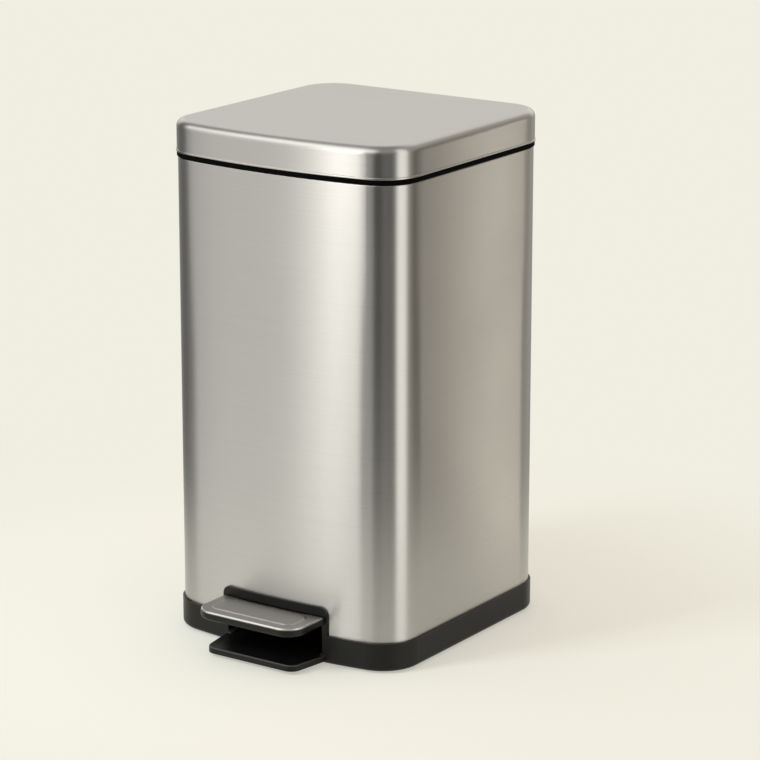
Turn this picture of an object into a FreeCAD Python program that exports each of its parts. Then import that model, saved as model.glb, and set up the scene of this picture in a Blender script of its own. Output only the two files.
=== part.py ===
import FreeCAD, Part
import math
import os
import types

import Sketcher

# Driving sizes in millimetres: name, value and meaning
DRIVING_SIZES = [
    ("body_width", 320, "width of the steel body"),
    ("body_depth", 329, "depth of the steel body at its middle, from the bowed front to the back"),
    ("corner_radius", 45, "radius of the body's upright corners"),
    ("front_radius", 780, "radius of the bow of the front"),
    ("body_top", 566, "height of the body's rolled top edge"),
    ("sheet_wall", 0.7, "thickness of the steel sheet of the body and the lid"),
    ("top_lip", 4, "width of the lip turned inwards at the body's top"),
    ("bottom_lip", 15, "width of the lip turned inwards at the body's foot"),
    ("rolled_edge", 1.5, "outer radius of the rolled top edge"),
    ("base_overhang", 2.7, "how far the base stands out from the body"),
    ("base_bottom", 2, "height of the base's lower edge over the floor"),
    ("base_top", 36, "height of the base's upper edge"),
    ("base_edge", 5.5, "radius of the base's lower edge"),
    ("base_wall", 6.7, "thickness of the base's wall under its floor"),
    ("floor_low", 8, "height of the underside of the base's floor"),
    ("floor_thick", 3, "thickness of the base's floor"),
    ("shell_fit", 0.3, "clearance of the steel body in the base"),
    ("surround_width", 148, "width of the surround of the pedal"),
    ("surround_top", 70, "height of the surround of the pedal"),
    ("surround_corner", 10, "radius of the surround's upper corners"),
    ("surround_lap", 3, "how far the surround covers the edge of the body's notch"),
    ("tunnel_width", 134, "width of the opening of the surround"),
    ("tunnel_roof", 58.5, "height of the opening's upper edge"),
    ("tunnel_wall", 2.5, "thickness of the walls round the opening"),
    ("tunnel_depth", 14, "depth of the walls round the opening behind the body's front"),
    ("tunnel_corner", 5, "radius of the opening's corners"),
    ("tongue_width", 124, "width of the foot plate at its front"),
    ("tongue_flare", 8, "how far the foot plate widens on each side towards the body"),
    ("tongue_reach", 50, "reach of the foot plate in front of the body"),
    ("tongue_bottom", 4.5, "height of the foot plate's underside"),
    ("tongue_thick", 7.5, "thickness of the foot plate"),
    ("tongue_corner", 13, "radius of the foot plate's front corners"),
    ("pedal_width", 143, "width of the pedal"),
    ("pedal_reach", 62, "reach of the pedal in front of the body"),
    ("pedal_top", 60, "height of the pedal's tread"),
    ("pedal_thick", 12, "thickness of the pedal with its tread"),
    ("pedal_corner", 24, "radius of the pedal's front corners"),
    ("pedal_edge", 4.5, "radius of the pedal's lower edge"),
    ("pedal_gap", 1.5, "gap between the pedal and the surround"),
    ("tread_thick", 2.2, "thickness of the tread plate"),
    ("tread_edge", 1.8, "radius of the tread plate's upper edges"),
    ("tread_rise", 0.8, "rise of the panel pressed into the tread plate"),
    ("tread_inset", 0.6, "margin between the edges of the pedal and the tread plate"),
    ("tread_border", 13, "width of the flat border round the tread's panel"),
    ("lever_width", 24, "width of the pedal lever"),
    ("lever_wall", 2, "sheet thickness of the pedal lever"),
    ("lever_start", 14, "distance of the lever's front end behind the pedal's front edge"),
    ("lever_top", 52, "height of the lever's front end"),
    ("lever_rise", 9, "half height of the lever at its axle"),
    ("lever_drop", 2, "how far the lever's front end hangs below the pedal"),
    ("lever_bend_drop", 6.8, "how far the lever hangs below the pedal at its bend"),
    ("axle_setback", 102.5, "distance of the pedal axle behind the body's front"),
    ("axle_height", 34, "height of the pedal axle"),
    ("axle_radius", 3, "radius of the pedal axle"),
    ("bush_wall", 1, "wall and flange thickness of the axle bushes"),
    ("bush_flange", 6, "radius of the flange of the axle bushes"),
    ("post_thick", 8, "thickness of the posts that carry the axle"),
    ("post_length", 24, "length of the posts that carry the axle"),
    ("side_play", 0.2, "side play between the lever and its bushes"),
    ("cap_radius", 5.5, "radius of the axle's end caps"),
    ("cap_length", 4, "length of the axle's end caps"),
    ("cap_depth", 3, "how far the axle reaches out of its posts into the end caps"),
    ("running_fit", 0.05, "radial clearance of a shaft that turns in a hole"),
    ("press_fit", 0.02, "radial clearance of a pin that is fixed in a hole"),
    ("screw_fit", 0.1, "radial clearance of a screw in its hole"),
    ("rod_radius", 2.25, "radius of the lift rod's wire"),
    ("rod_bend", 4.5, "bend radius of the lift rod on its centre line"),
    ("rod_foot", 21, "height of the lift rod's lower end"),
    ("rod_gap", 2, "gap between the lift rod and the side of the lever"),
    ("slot_play", 1.15, "height clearance of the lift rod in the lever's slot"),
    ("slot_shift", 3.1, "distance of the slot's middle in front of the resting rod"),
    ("slot_travel", 4.6, "half of the way the rod's end has along the slot"),
    ("slot_margin", 4, "metal round the slot of the lever"),
    ("clip_radius", 5, "radius of the rod clips"),
    ("clip_thick", 1.5, "thickness of the rod clips"),
    ("hinge_setback", 9.5, "distance of the hinge axis behind the body's back"),
    ("hinge_rise", 2, "height of the hinge axis over the body's top edge"),
    ("hinge_reach", 24, "reach of the hinge housing behind the body's back"),
    ("knuckle_radius", 6.5, "radius of the lid's hinge knuckles"),
    ("knuckle_start", 44, "distance of the knuckles' inner sides from the middle"),
    ("knuckle_length", 16, "length of a hinge knuckle"),
    ("ear_radius", 7.5, "radius of the housing's ears"),
    ("ear_gap", 1.5, "gap between an ear and a knuckle"),
    ("inner_ear", 18.5, "length of the ears between the knuckles"),
    ("outer_ear", 13, "length of the ears outside the knuckles"),
    ("pin_radius", 2.5, "radius of the hinge pins"),
    ("pin_grip", 9, "length of the short hinge pin inside its knuckle"),
    ("damper_radius", 5, "outer radius of the damper's barrel"),
    ("damper_floor", 3, "thickness of the damper barrel's closed end"),
    ("rotor_radius", 3, "radius of the damper's rotor"),
    ("rotor_square", 4.6, "side of the square end of the damper's rotor"),
    ("rotor_grip", 6.5, "length of the rotor's square end in its knuckle"),
    ("housing_margin", 4, "how far the hinge housing is wider than its ears at each end"),
    ("housing_height", 42, "height of the hinge housing's block"),
    ("housing_drop", 8, "distance of the block's top below the hinge axis"),
    ("housing_edge", 5, "slope at the block's rear edges"),
    ("grip_width", 92, "width of the finger grip under the housing"),
    ("grip_depth", 26, "height of the finger grip under the housing"),
    ("grip_wall", 4.5, "thickness of the walls round the finger grip"),
    ("crank_setback", 23, "distance of the crank's eye in front of the hinge axis"),
    ("crank_drop", 19.3, "distance of the crank's eye below the hinge axis"),
    ("crank_eye", 5, "outer radius of the crank's eye"),
    ("crank_thick", 3, "thickness of the crank plate"),
    ("crank_side", 8, "distance of the crank plate from the middle"),
    ("crank_gap", 16, "width of the gap in the liner for the crank"),
    ("crank_room", 4, "room for the crank behind its eye in the collar"),
    ("crank_margin", 1, "margin between the crank plate and the edges of the bridge"),
    ("crank_step", 2, "step of the crank plate at the underside of the bridge"),
    ("lid_gap", 6, "height of the dark line between the body and the lid"),
    ("lid_height", 37, "height of the lid"),
    ("lid_overhang", 1.3, "how far the lid stands out from the body"),
    ("lid_edge", 9, "radius of the lid's upper edge"),
    ("lid_hem", 3, "width of the hem turned inwards at the lid's lower edge"),
    ("bead_proud", 0.9, "how far the bead at the lid's lower edge stands out from the lid"),
    ("bead_height", 2.4, "height of the bead at the lid's lower edge"),
    ("bead_edge", 0.8, "radius of the bead's outer edges"),
    ("lid_play", 0.3, "clearance between the liner and the lid's sheet"),
    ("liner_wall", 2, "wall thickness of the lid liner"),
    ("liner_lift", 1, "height of the liner's underside over the lid's lower edge"),
    ("liner_height", 27, "height of the lid liner"),
    ("liner_edge", 4, "radius of the tray's upper edge inside the liner"),
    ("bridge_height", 12, "height of the liner's bridge that carries the knuckles"),
    ("bridge_depth", 14, "depth of the bridge inside the body's back"),
    ("bridge_proud", 2, "how far the bridge stands out behind the body's back"),
    ("bridge_margin", 6, "how far the bridge is wider than the knuckles"),
    ("collar_height", 5, "height of the collar over the body's top edge"),
    ("collar_overhang", 1.3, "how far the collar stands out from the body"),
    ("collar_edge", 1.2, "radius of the collar's outer edges"),
    ("collar_skirt", 18, "length of the collar's skirt inside the body"),
    ("collar_wall", 2.2, "thickness of the collar's skirt"),
    ("collar_play", 0.5, "clearance between the collar's skirt and the body's lip"),
    ("bucket_inset", 18.5, "distance of the bucket's upper wall inside the body's outline"),
    ("bucket_back", 47.5, "distance of the bucket's upper back wall from the body's back"),
    ("bucket_taper", 14, "taper of each bucket wall from rim to floor"),
    ("bucket_corner", 36, "radius of the bucket's upright corners at its rim"),
    ("bucket_floor", 80, "height of the underside of the bucket's floor"),
    ("bucket_wall", 2.2, "wall thickness of the bucket"),
    ("bucket_edge", 12, "radius of the bucket's lower edge"),
    ("bucket_play", 1.5, "clearance of the bucket in the collar"),
    ("rim_width", 5, "width of the bucket's rim"),
    ("rim_thick", 2.5, "thickness of the bucket's rim"),
    ("rim_play", 0.5, "clearance of the rim in the collar's recess"),
    ("hand_hole_length", 92, "length of the bucket's hand holes"),
    ("hand_hole_height", 26, "height of the bucket's hand holes"),
    ("hand_hole_corner", 11.7, "radius of the hand holes' corners"),
    ("hand_hole_drop", 34, "distance of the hand holes' middle below the rim"),
    ("guard_width", 26, "width of the rod guard"),
    ("guard_depth", 26, "depth of the rod guard"),
    ("guard_flange", 10, "width of the rod guard's flanges"),
    ("guard_low", 84, "height of the rod guard's lower end"),
    ("guard_drop", 28, "distance of the rod guard's upper end below the body's top edge"),
    ("foot_radius", 10, "radius of the rubber feet"),
    ("foot_thick", 3.5, "thickness of the rubber feet"),
    ("foot_inset", 42, "distance of the feet from the sides of the body"),
    ("foot_setback", 46.5, "distance of the feet from the front and the back of the body"),
    ("rib_thick", 2, "thickness of the ribs under the floor"),
    ("rib_height", 4, "height of the ribs under the floor"),
    ("rib_pitch", 75, "distance between the ribs under the floor"),
    ("screw_radius", 1.8, "radius of the screws' shanks"),
    ("head_radius", 3.2, "radius of the screws' heads"),
    ("head_height", 2.4, "height of the screws' heads"),
    ("nut_side", 11, "side of the spring nuts"),
    ("nut_thick", 1.2, "thickness of the spring nuts"),
    ("base_screw_inset", 8.5, "distance of the base screws inside the body's outline"),
    ("base_screw_pitch", 140, "distance between the base screws along a side"),
    ("base_screw_end", 4, "length of the base screws over the base's floor"),
    ("housing_screw_length", 12, "length of the hinge housing's screws"),
    ("housing_screw_low", 12.6, "height of the lower housing screws over the block's underside"),
    ("housing_screw_pitch", 18.9, "distance between the housing screws of one side"),
    ("crank_screw_length", 10.5, "length of the crank screws"),
    ("crank_screw_pitch", 8, "distance between the crank screws from front to back"),
    ("crank_screw_step", 3.6, "height step between the crank screws"),
    ("pedal_screw_grip", 4, "depth of the pedal screws in the pedal"),
    ("pedal_screw_start", 7.2, "distance of the first pedal screw from the lever's front end"),
    ("pedal_screw_pitch", 16.8, "distance between the pedal screws"),
    ("bumper_radius", 2.4, "radius of the lid bumpers"),
    ("bumper_inset", 1.8, "distance of the bumpers inside the body's outline"),
    ("bumper_setback", 69.5, "distance of the bumpers from the front and the back of the body"),
    ("bumper_seat", 2, "depth of the bumpers' seats in the collar"),
    ("bumper_play", 0.3, "gap between the bumpers and the resting lid"),
]


class Size:
    """A length with its value and the expression that works it out from the sheet."""

    def __init__(self, value, text):
        self.value = value
        self.text = text

    def __add__(self, other):
        return joined(self, "+", other, self.value + size_of(other).value)

    def __radd__(self, other):
        return size_of(other) + self

    def __sub__(self, other):
        return joined(self, "-", other, self.value - size_of(other).value)

    def __rsub__(self, other):
        return size_of(other) - self

    def __mul__(self, other):
        return joined(self, "*", other, self.value * size_of(other).value)

    def __rmul__(self, other):
        return size_of(other) * self

    def __truediv__(self, other):
        return joined(self, "/", other, self.value / size_of(other).value)

    def __neg__(self):
        return Size(-self.value, f"(0 - {self.text})")


def size_of(number):
    if isinstance(number, Size):
        return number
    return Size(number, f"({number})")


def joined(first, sign, second, value):
    return Size(value, f"({first.text} {sign} {size_of(second).text})")


# Document and sheet of driving sizes
doc = FreeCAD.newDocument("step_bin")
sheet = doc.addObject("Spreadsheet::Sheet", "Sizes")
for row, (alias, value, meaning) in enumerate(DRIVING_SIZES, 1):
    sheet.set(f"A{row}", meaning)
    sheet.set(f"B{row}", str(value))
    sheet.setAlias(f"B{row}", alias)
doc.recompute()
d = types.SimpleNamespace(**{alias: Size(value, f"Sizes.{alias}") for alias, value, _ in DRIVING_SIZES})

# Places worked out from the driving sizes
front = -d.body_depth / 2
back = d.body_depth / 2
floor_top = d.floor_low + d.floor_thick
lid_low = d.body_top + d.lid_gap
lid_top = lid_low + d.lid_height
hinge_y = back + d.hinge_setback
hinge_z = d.body_top + d.hinge_rise
eye_y = hinge_y - d.crank_setback
eye_z = hinge_z - d.crank_drop
axle_y = front + d.axle_setback
pedal_front = front - d.pedal_reach
pedal_low = d.pedal_top - d.pedal_thick
lever_front = pedal_front + d.lever_start
pad_top = d.pedal_top - d.tread_rise - d.tread_thick
rod_x = d.lever_width / 2 + d.rod_gap + d.rod_radius
rod_head = d.crank_side - 2 * d.clip_thick - d.rod_radius / 2
post_start = d.lever_width / 2 + d.side_play + d.bush_wall
post_end = post_start + d.post_thick
knuckle_end = d.knuckle_start + d.knuckle_length
ear_inner_end = d.knuckle_start - d.ear_gap
ear_inner_start = ear_inner_end - d.inner_ear
ear_outer_start = knuckle_end + d.ear_gap
ear_outer_end = ear_outer_start + d.outer_ear
collar_top = d.body_top + d.collar_height
rim_low = collar_top - d.rim_thick
bridge_half = knuckle_end + d.bridge_margin
bridge_low = lid_low + d.liner_lift
bridge_high = bridge_low + d.bridge_height
housing_top = hinge_z - d.housing_drop
housing_low = housing_top - d.housing_height
origin_shift = (d.pedal_reach - d.hinge_reach) / 2
shell_inside = back - d.sheet_wall
ZERO = size_of(0)
TOUCH = 1e-3


# Helpers for bodies, sketches and features


def bind(item, name, size):
    item.setExpression(name, size.text)


def new_body(name):
    body = doc.addObject("PartDesign::Body", name)
    body.Label = name
    body.AllowCompound = True
    bind(body, "Placement.Base.y", origin_shift)
    return body


def new_sketch(body, plane, height):
    """Sketch on an origin plane, moved along the plane's normal: +Z for XY, -Y for XZ, +X for YZ."""
    sketch = body.newObject("Sketcher::SketchObject", f"{body.Name}_sketch")
    support = [item for item in body.Origin.OriginFeatures if item.Role == f"{plane}_Plane"][0]
    sketch.AttachmentSupport = [(support, "")]
    sketch.MapMode = "FlatFace"
    bind(sketch, "AttachmentOffset.Base.z", size_of(height))
    return sketch


def dimension(sketch, constraint, size):
    index = sketch.addConstraint(constraint)
    sketch.setExpression(f"Constraints[{index}]", size.text)


def fix_x(sketch, item, point, size):
    dimension(sketch, Sketcher.Constraint("DistanceX", -1, 1, item, point, size.value), size)


def fix_y(sketch, item, point, size):
    dimension(sketch, Sketcher.Constraint("DistanceY", -1, 1, item, point, size.value), size)


def point(x, y):
    return FreeCAD.Vector(x, y, 0)


def line(start, end):
    return Part.LineSegment(point(*start), point(*end))


def arc(centre, radius, start, end):
    circle = Part.Circle(point(*centre), FreeCAD.Vector(0, 0, 1), radius)
    return Part.ArcOfCircle(circle, math.radians(start), math.radians(end))


def join_ends(sketch, items, kind):
    for item, following in zip(items, items[1:] + items[:1]):
        sketch.addConstraint(Sketcher.Constraint(kind, item, 2, following, 1))


def body_plan(offset, rear=None, corner=None):
    """Half width, front, back, corner radius and bow radius of the body's plan, moved outwards."""
    offset = size_of(offset)
    rear = back + offset if rear is None else rear
    corner = d.corner_radius + offset if corner is None else corner
    return d.body_width / 2 + offset, front - offset, rear, corner, d.front_radius + offset


def add_plan(sketch, plan):
    """Closed outline with a bowed front, flat sides and back and four round corners."""
    half, apex, rear, corner, bow = plan
    bow_y = apex + bow
    side = half.value
    radius = corner.value
    corner_x = side - radius
    rear_y = rear.value - radius
    front_y = bow_y.value - math.sqrt((bow.value - radius) ** 2 - corner_x**2)
    lean = math.degrees(math.atan2(corner_x, bow_y.value - front_y))
    shapes = [
        line((side, front_y), (side, rear_y)),
        arc((corner_x, rear_y), radius, 0, 90),
        line((corner_x, rear.value), (-corner_x, rear.value)),
        arc((-corner_x, rear_y), radius, 90, 180),
        line((-side, rear_y), (-side, front_y)),
        arc((-corner_x, front_y), radius, 180, 270 - lean),
        arc((0, bow_y.value), bow.value, 270 - lean, 270 + lean),
        arc((corner_x, front_y), radius, 270 + lean, 360),
    ]
    items = list(sketch.addGeometry(shapes, False))
    join_ends(sketch, items, "Tangent")
    right, right_rear, rear_line, left_rear, left, left_front, front_arc, right_front = items
    sketch.addConstraint(Sketcher.Constraint("Vertical", right))
    sketch.addConstraint(Sketcher.Constraint("Vertical", left))
    sketch.addConstraint(Sketcher.Constraint("Horizontal", rear_line))
    for other in (left_rear, left_front, right_front):
        sketch.addConstraint(Sketcher.Constraint("Equal", right_rear, other))
    dimension(sketch, Sketcher.Constraint("Radius", right_rear, radius), corner)
    dimension(sketch, Sketcher.Constraint("Radius", front_arc, bow.value), bow)
    fix_x(sketch, right, 1, half)
    fix_x(sketch, left, 1, -half)
    fix_y(sketch, rear_line, 1, rear)
    sketch.addConstraint(Sketcher.Constraint("PointOnObject", front_arc, 3, -2))
    fix_y(sketch, front_arc, 3, bow_y)


def add_polygon(sketch, corners):
    corners = [(size_of(x), size_of(y)) for x, y in corners]
    places = [(x.value, y.value) for x, y in corners]
    shapes = [line(start, end) for start, end in zip(places, places[1:] + places[:1])]
    items = list(sketch.addGeometry(shapes, False))
    join_ends(sketch, items, "Coincident")
    for item, (x, y) in zip(items, corners):
        fix_x(sketch, item, 1, x)
        fix_y(sketch, item, 1, y)


def add_rectangle(sketch, left, right, low, high):
    add_polygon(sketch, [(left, low), (right, low), (right, high), (left, high)])


def add_round_rectangle(sketch, left, right, low, high, corner):
    left, right, low, high, corner = (size_of(size) for size in (left, right, low, high, corner))
    radius = corner.value
    x0, x1 = left.value + radius, right.value - radius
    y0, y1 = low.value + radius, high.value - radius
    shapes = [
        line((x0, low.value), (x1, low.value)),
        arc((x1, y0), radius, 270, 360),
        line((right.value, y0), (right.value, y1)),
        arc((x1, y1), radius, 0, 90),
        line((x1, high.value), (x0, high.value)),
        arc((x0, y1), radius, 90, 180),
        line((left.value, y1), (left.value, y0)),
        arc((x0, y0), radius, 180, 270),
    ]
    items = list(sketch.addGeometry(shapes, False))
    join_ends(sketch, items, "Tangent")
    for level in (items[0], items[4]):
        sketch.addConstraint(Sketcher.Constraint("Horizontal", level))
    for upright in (items[2], items[6]):
        sketch.addConstraint(Sketcher.Constraint("Vertical", upright))
    for other in (items[3], items[5], items[7]):
        sketch.addConstraint(Sketcher.Constraint("Equal", items[1], other))
    dimension(sketch, Sketcher.Constraint("Radius", items[1], radius), corner)
    fix_y(sketch, items[0], 1, low)
    fix_y(sketch, items[4], 1, high)
    fix_x(sketch, items[2], 1, right)
    fix_x(sketch, items[6], 1, left)


def add_slot(sketch, x, y, half_travel, radius):
    """Level slot with round ends."""
    x0, x1 = (x - half_travel).value, (x + half_travel).value
    middle, r = y.value, radius.value
    shapes = [
        line((x0, middle - r), (x1, middle - r)),
        arc((x1, middle), r, 270, 450),
        line((x1, middle + r), (x0, middle + r)),
        arc((x0, middle), r, 90, 270),
    ]
    items = list(sketch.addGeometry(shapes, False))
    join_ends(sketch, items, "Tangent")
    sketch.addConstraint(Sketcher.Constraint("Horizontal", items[0]))
    dimension(sketch, Sketcher.Constraint("Radius", items[1], r), radius)
    fix_x(sketch, items[1], 3, x + half_travel)
    fix_y(sketch, items[1], 3, y)
    fix_x(sketch, items[3], 3, x - half_travel)


def add_circle(sketch, x, y, radius):
    x, y, radius = size_of(x), size_of(y), size_of(radius)
    circle = Part.Circle(point(x.value, y.value), FreeCAD.Vector(0, 0, 1), radius.value)
    item = sketch.addGeometry(circle, False)
    dimension(sketch, Sketcher.Constraint("Radius", item, radius.value), radius)
    fix_x(sketch, item, 3, x)
    fix_y(sketch, item, 3, y)


def pad(sketch, length, both=False, back_wards=False):
    body = sketch.getParentGeoFeatureGroup()
    feature = body.newObject("PartDesign::Pad", f"{body.Name}_pad")
    feature.Profile = sketch
    feature.SideType = "Symmetric" if both else "One side"
    feature.Reversed = back_wards
    bind(feature, "Length", size_of(length))
    doc.recompute()
    return feature


def cut(sketch, length=None, both=False, forwards=False):
    """Pocket against the sketch's normal, or along it; without a length it goes right through."""
    body = sketch.getParentGeoFeatureGroup()
    feature = body.newObject("PartDesign::Pocket", f"{body.Name}_cut")
    feature.Profile = sketch
    feature.SideType = "Symmetric" if both else "One side"
    feature.Reversed = forwards
    if length is None:
        feature.Type = "ThroughAll"
    else:
        bind(feature, "Length", size_of(length))
    doc.recompute()
    return feature


def round_edges(feature, radius, test):
    """Fillet on the feature's edges whose bounding box passes the test."""
    body = feature.getParentGeoFeatureGroup()
    names = [f"Edge{i}" for i, edge in enumerate(feature.Shape.Edges, 1) if test(edge.BoundBox)]
    fillet = body.newObject("PartDesign::Fillet", f"{body.Name}_fillet")
    fillet.Base = (feature, names)
    bind(fillet, "Radius", size_of(radius))
    doc.recompute()
    return fillet


def level_at(height):
    """Test for an edge that lies level at a height."""
    return lambda box: abs(box.ZMin - height.value) < TOUCH and abs(box.ZMax - height.value) < TOUCH


def outermost(feature):
    """Test for a level edge that reaches the outside of the feature."""
    whole = feature.Shape.BoundBox

    def test(box):
        gaps = (whole.XMax - box.XMax, box.XMin - whole.XMin, whole.YMax - box.YMax, box.YMin - whole.YMin)
        return box.ZLength < TOUCH and min(gaps) < TOUCH

    return test


def at_ends(half):
    """Test for an edge that lies in one of the two upright planes at half a width from the middle."""
    return lambda box: box.XLength < TOUCH and abs(abs(box.Center.x) - half.value) < TOUCH


def plan_sketch(body, height, *plans):
    sketch = new_sketch(body, "XY", height)
    for plan in plans:
        add_plan(sketch, plan)
    return sketch


def circles_sketch(body, plane, height, centres, radius):
    sketch = new_sketch(body, plane, height)
    for x, y in centres:
        add_circle(sketch, x, y, radius)
    return sketch


def four(x, y):
    return [(x, y), (-x, y), (-x, -y), (x, -y)]


base_screw_places = four(d.body_width / 2 - d.base_screw_inset, d.base_screw_pitch / 2)
foot_places = four(d.body_width / 2 - d.foot_inset, d.body_depth / 2 - d.foot_setback)
bumper_places = four(d.body_width / 2 - d.bumper_inset, d.body_depth / 2 - d.bumper_setback)
housing_screw_x = d.grip_width / 2 + d.grip_wall + d.head_radius
housing_screw_z = housing_low + d.housing_screw_low
housing_screw_places = [
    (side * housing_screw_x, height)
    for side in (-1, 1)
    for height in (housing_screw_z, housing_screw_z + d.housing_screw_pitch)
]
bridge_middle = back + (d.bridge_proud - d.bridge_depth) / 2
crank_screw_places = [
    (
        bridge_middle + way * d.crank_screw_pitch / 2,
        (bridge_low + bridge_high) / 2 + way * d.crank_screw_step / 2,
    )
    for way in (-1, 1)
]
pedal_screw_y = lever_front + d.pedal_screw_start
pedal_screw_places = [(0, pedal_screw_y), (0, pedal_screw_y + d.pedal_screw_pitch)]


# Steel body wrap with a lip at each end, a notch for the pedal and screw holes


def make_body_shell():
    body = new_body("body_shell")
    inner_height = d.body_top - floor_top - 2 * d.sheet_wall
    block = pad(plan_sketch(body, floor_top, body_plan(0)), d.body_top - floor_top)
    round_edges(block, d.rolled_edge, level_at(d.body_top))
    cut(plan_sketch(body, floor_top + d.sheet_wall, body_plan(-d.sheet_wall)), inner_height, forwards=True)
    cut(plan_sketch(body, d.body_top, body_plan(-d.top_lip)), 2 * d.sheet_wall)
    cut(plan_sketch(body, floor_top, body_plan(-d.bottom_lip)), 2 * d.sheet_wall, forwards=True)
    notch_half = d.surround_width / 2 - d.surround_lap
    notch_top = d.surround_top - d.surround_lap
    notch = new_sketch(body, "XZ", 0)
    notch_corner = d.surround_corner - d.surround_lap
    add_round_rectangle(notch, -notch_half, notch_half, -notch_top, notch_top, notch_corner)
    cut(notch, forwards=True)
    hole = d.screw_radius + d.screw_fit
    cut(circles_sketch(body, "XY", 0, base_screw_places, hole), 2 * floor_top, forwards=True)
    cut(circles_sketch(body, "XZ", 0, housing_screw_places, hole))
    return body


# Base moulding with skirt, floor, pedal surround, foot plate, axle posts, ribs and foot bosses


def add_front_strip(sketch, half, outer, inner):
    """Strip along the bowed front, between two offsets of the body's plan."""
    bow_y = front + d.front_radius
    ends = []
    for offset in (outer, inner):
        radius = d.front_radius + offset
        ends.append((radius, math.degrees(math.asin(half.value / radius.value))))
    (far, far_lean), (near, near_lean) = ends
    near_y = bow_y.value - near.value * math.cos(math.radians(near_lean))
    far_y = bow_y.value - far.value * math.cos(math.radians(far_lean))
    shapes = [
        arc((0, bow_y.value), far.value, 270 - far_lean, 270 + far_lean),
        line((half.value, far_y), (half.value, near_y)),
        arc((0, bow_y.value), near.value, 270 - near_lean, 270 + near_lean),
        line((-half.value, near_y), (-half.value, far_y)),
    ]
    items = list(sketch.addGeometry(shapes, False))
    joints = [(0, 2, 1, 1), (1, 2, 2, 2), (2, 1, 3, 1), (3, 2, 0, 1)]
    for first, first_end, second, second_end in joints:
        ends_meet = Sketcher.Constraint("Coincident", items[first], first_end, items[second], second_end)
        sketch.addConstraint(ends_meet)
    for upright in (items[1], items[3]):
        sketch.addConstraint(Sketcher.Constraint("Vertical", upright))
    for curve, radius in ((items[0], far), (items[2], near)):
        dimension(sketch, Sketcher.Constraint("Radius", curve, radius.value), radius)
        sketch.addConstraint(Sketcher.Constraint("PointOnObject", curve, 3, -2))
        fix_y(sketch, curve, 3, bow_y)
    fix_x(sketch, items[1], 1, half)
    fix_x(sketch, items[3], 1, -half)


def add_base_block(body):
    block = pad(plan_sketch(body, d.base_bottom, body_plan(d.base_overhang)), d.base_top - d.base_bottom)
    round_edges(block, d.base_edge, level_at(d.base_bottom))


def hollow_base(body):
    """Seat of the steel body over the floor, and the hollow under the floor."""
    cut(plan_sketch(body, d.base_top, body_plan(d.shell_fit)), d.base_top - floor_top)
    under = body_plan(d.base_overhang - d.base_wall)
    cut(plan_sketch(body, d.base_bottom, under), d.floor_low - d.base_bottom, forwards=True)


def add_pedal_surround(body):
    surround = new_sketch(body, "XY", floor_top)
    half = d.surround_width / 2
    add_front_strip(surround, half, d.base_overhang, d.shell_fit)
    plate = pad(surround, d.surround_top - floor_top)
    at_top = level_at(d.surround_top)
    at_side = at_ends(half)
    round_edges(plate, d.surround_corner, lambda box: at_top(box) and at_side(box))
    tunnel = new_sketch(body, "XY", floor_top)
    add_front_strip(tunnel, d.tunnel_width / 2 + d.tunnel_wall, d.base_overhang / 2, -d.tunnel_depth)
    pad(tunnel, d.tunnel_roof + d.tunnel_wall - floor_top)
    opening = new_sketch(body, "XZ", -front - 3 * d.tunnel_depth)
    tongue_top = d.tongue_bottom + d.tongue_thick
    half_opening = d.tunnel_width / 2
    add_round_rectangle(opening, -half_opening, half_opening, tongue_top, d.tunnel_roof, d.tunnel_corner)
    cut(opening, forwards=True)


def add_foot_plate(body):
    """Plate on the floor in front of the base, wider at its root than at its round front corners."""
    sketch = new_sketch(body, "XY", d.tongue_bottom)
    half = d.tongue_width / 2
    root = half + d.tongue_flare
    tip = front - d.tongue_reach
    inside = front + d.tongue_corner
    add_polygon(
        sketch, [(-half, tip), (half, tip), (root, front), (root, inside), (-root, inside), (-root, front)]
    )
    plate = pad(sketch, d.tongue_thick)
    tip_end = tip.value + TOUCH
    rounded = round_edges(plate, d.tongue_corner, lambda box: box.YMax < tip_end and box.ZLength > TOUCH)
    top = level_at(d.tongue_bottom + d.tongue_thick)
    outside = (front - d.base_overhang).value
    round_edges(rounded, d.tongue_thick / 4, lambda box: top(box) and box.Center.y < outside)


def add_axle_posts(body):
    height = d.axle_height + d.post_length / 2
    for start in (post_start, -post_end):
        sketch = new_sketch(body, "YZ", start)
        half = d.post_length / 2
        add_round_rectangle(sketch, axle_y - half, axle_y + half, d.floor_low, height, half / 2)
        pad(sketch, d.post_thick)
    bores = new_sketch(body, "YZ", 0)
    add_circle(bores, axle_y, d.axle_height, d.axle_radius + d.running_fit + d.bush_wall + d.press_fit)
    cut(bores, 3 * post_end, both=True)


def add_base_underside(body):
    side_reach = (d.body_width - d.base_wall) / 2
    front_reach = (d.body_depth - d.base_wall) / 2
    for along_x in (True, False):
        sketch = new_sketch(body, "XY", d.floor_low - d.rib_height)
        for place in (-1, 0, 1):
            low = place * d.rib_pitch - d.rib_thick / 2
            high = low + d.rib_thick
            if along_x:
                add_rectangle(sketch, -side_reach, side_reach, low, high)
            else:
                add_rectangle(sketch, low, high, -front_reach, front_reach)
        pad(sketch, d.rib_height)
    boss = d.foot_radius + d.rib_thick
    pad(circles_sketch(body, "XY", d.foot_thick, foot_places, boss), d.floor_low - d.foot_thick)
    hole = d.screw_radius + d.screw_fit
    cut(circles_sketch(body, "XY", 0, base_screw_places, hole), 2 * floor_top, forwards=True)


def make_base_tray():
    body = new_body("base_tray")
    add_base_block(body)
    add_foot_plate(body)
    hollow_base(body)
    add_pedal_surround(body)
    add_axle_posts(body)
    add_base_underside(body)
    return body


# Collar ring on the body's top edge, with a recess for the bucket's rim


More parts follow.
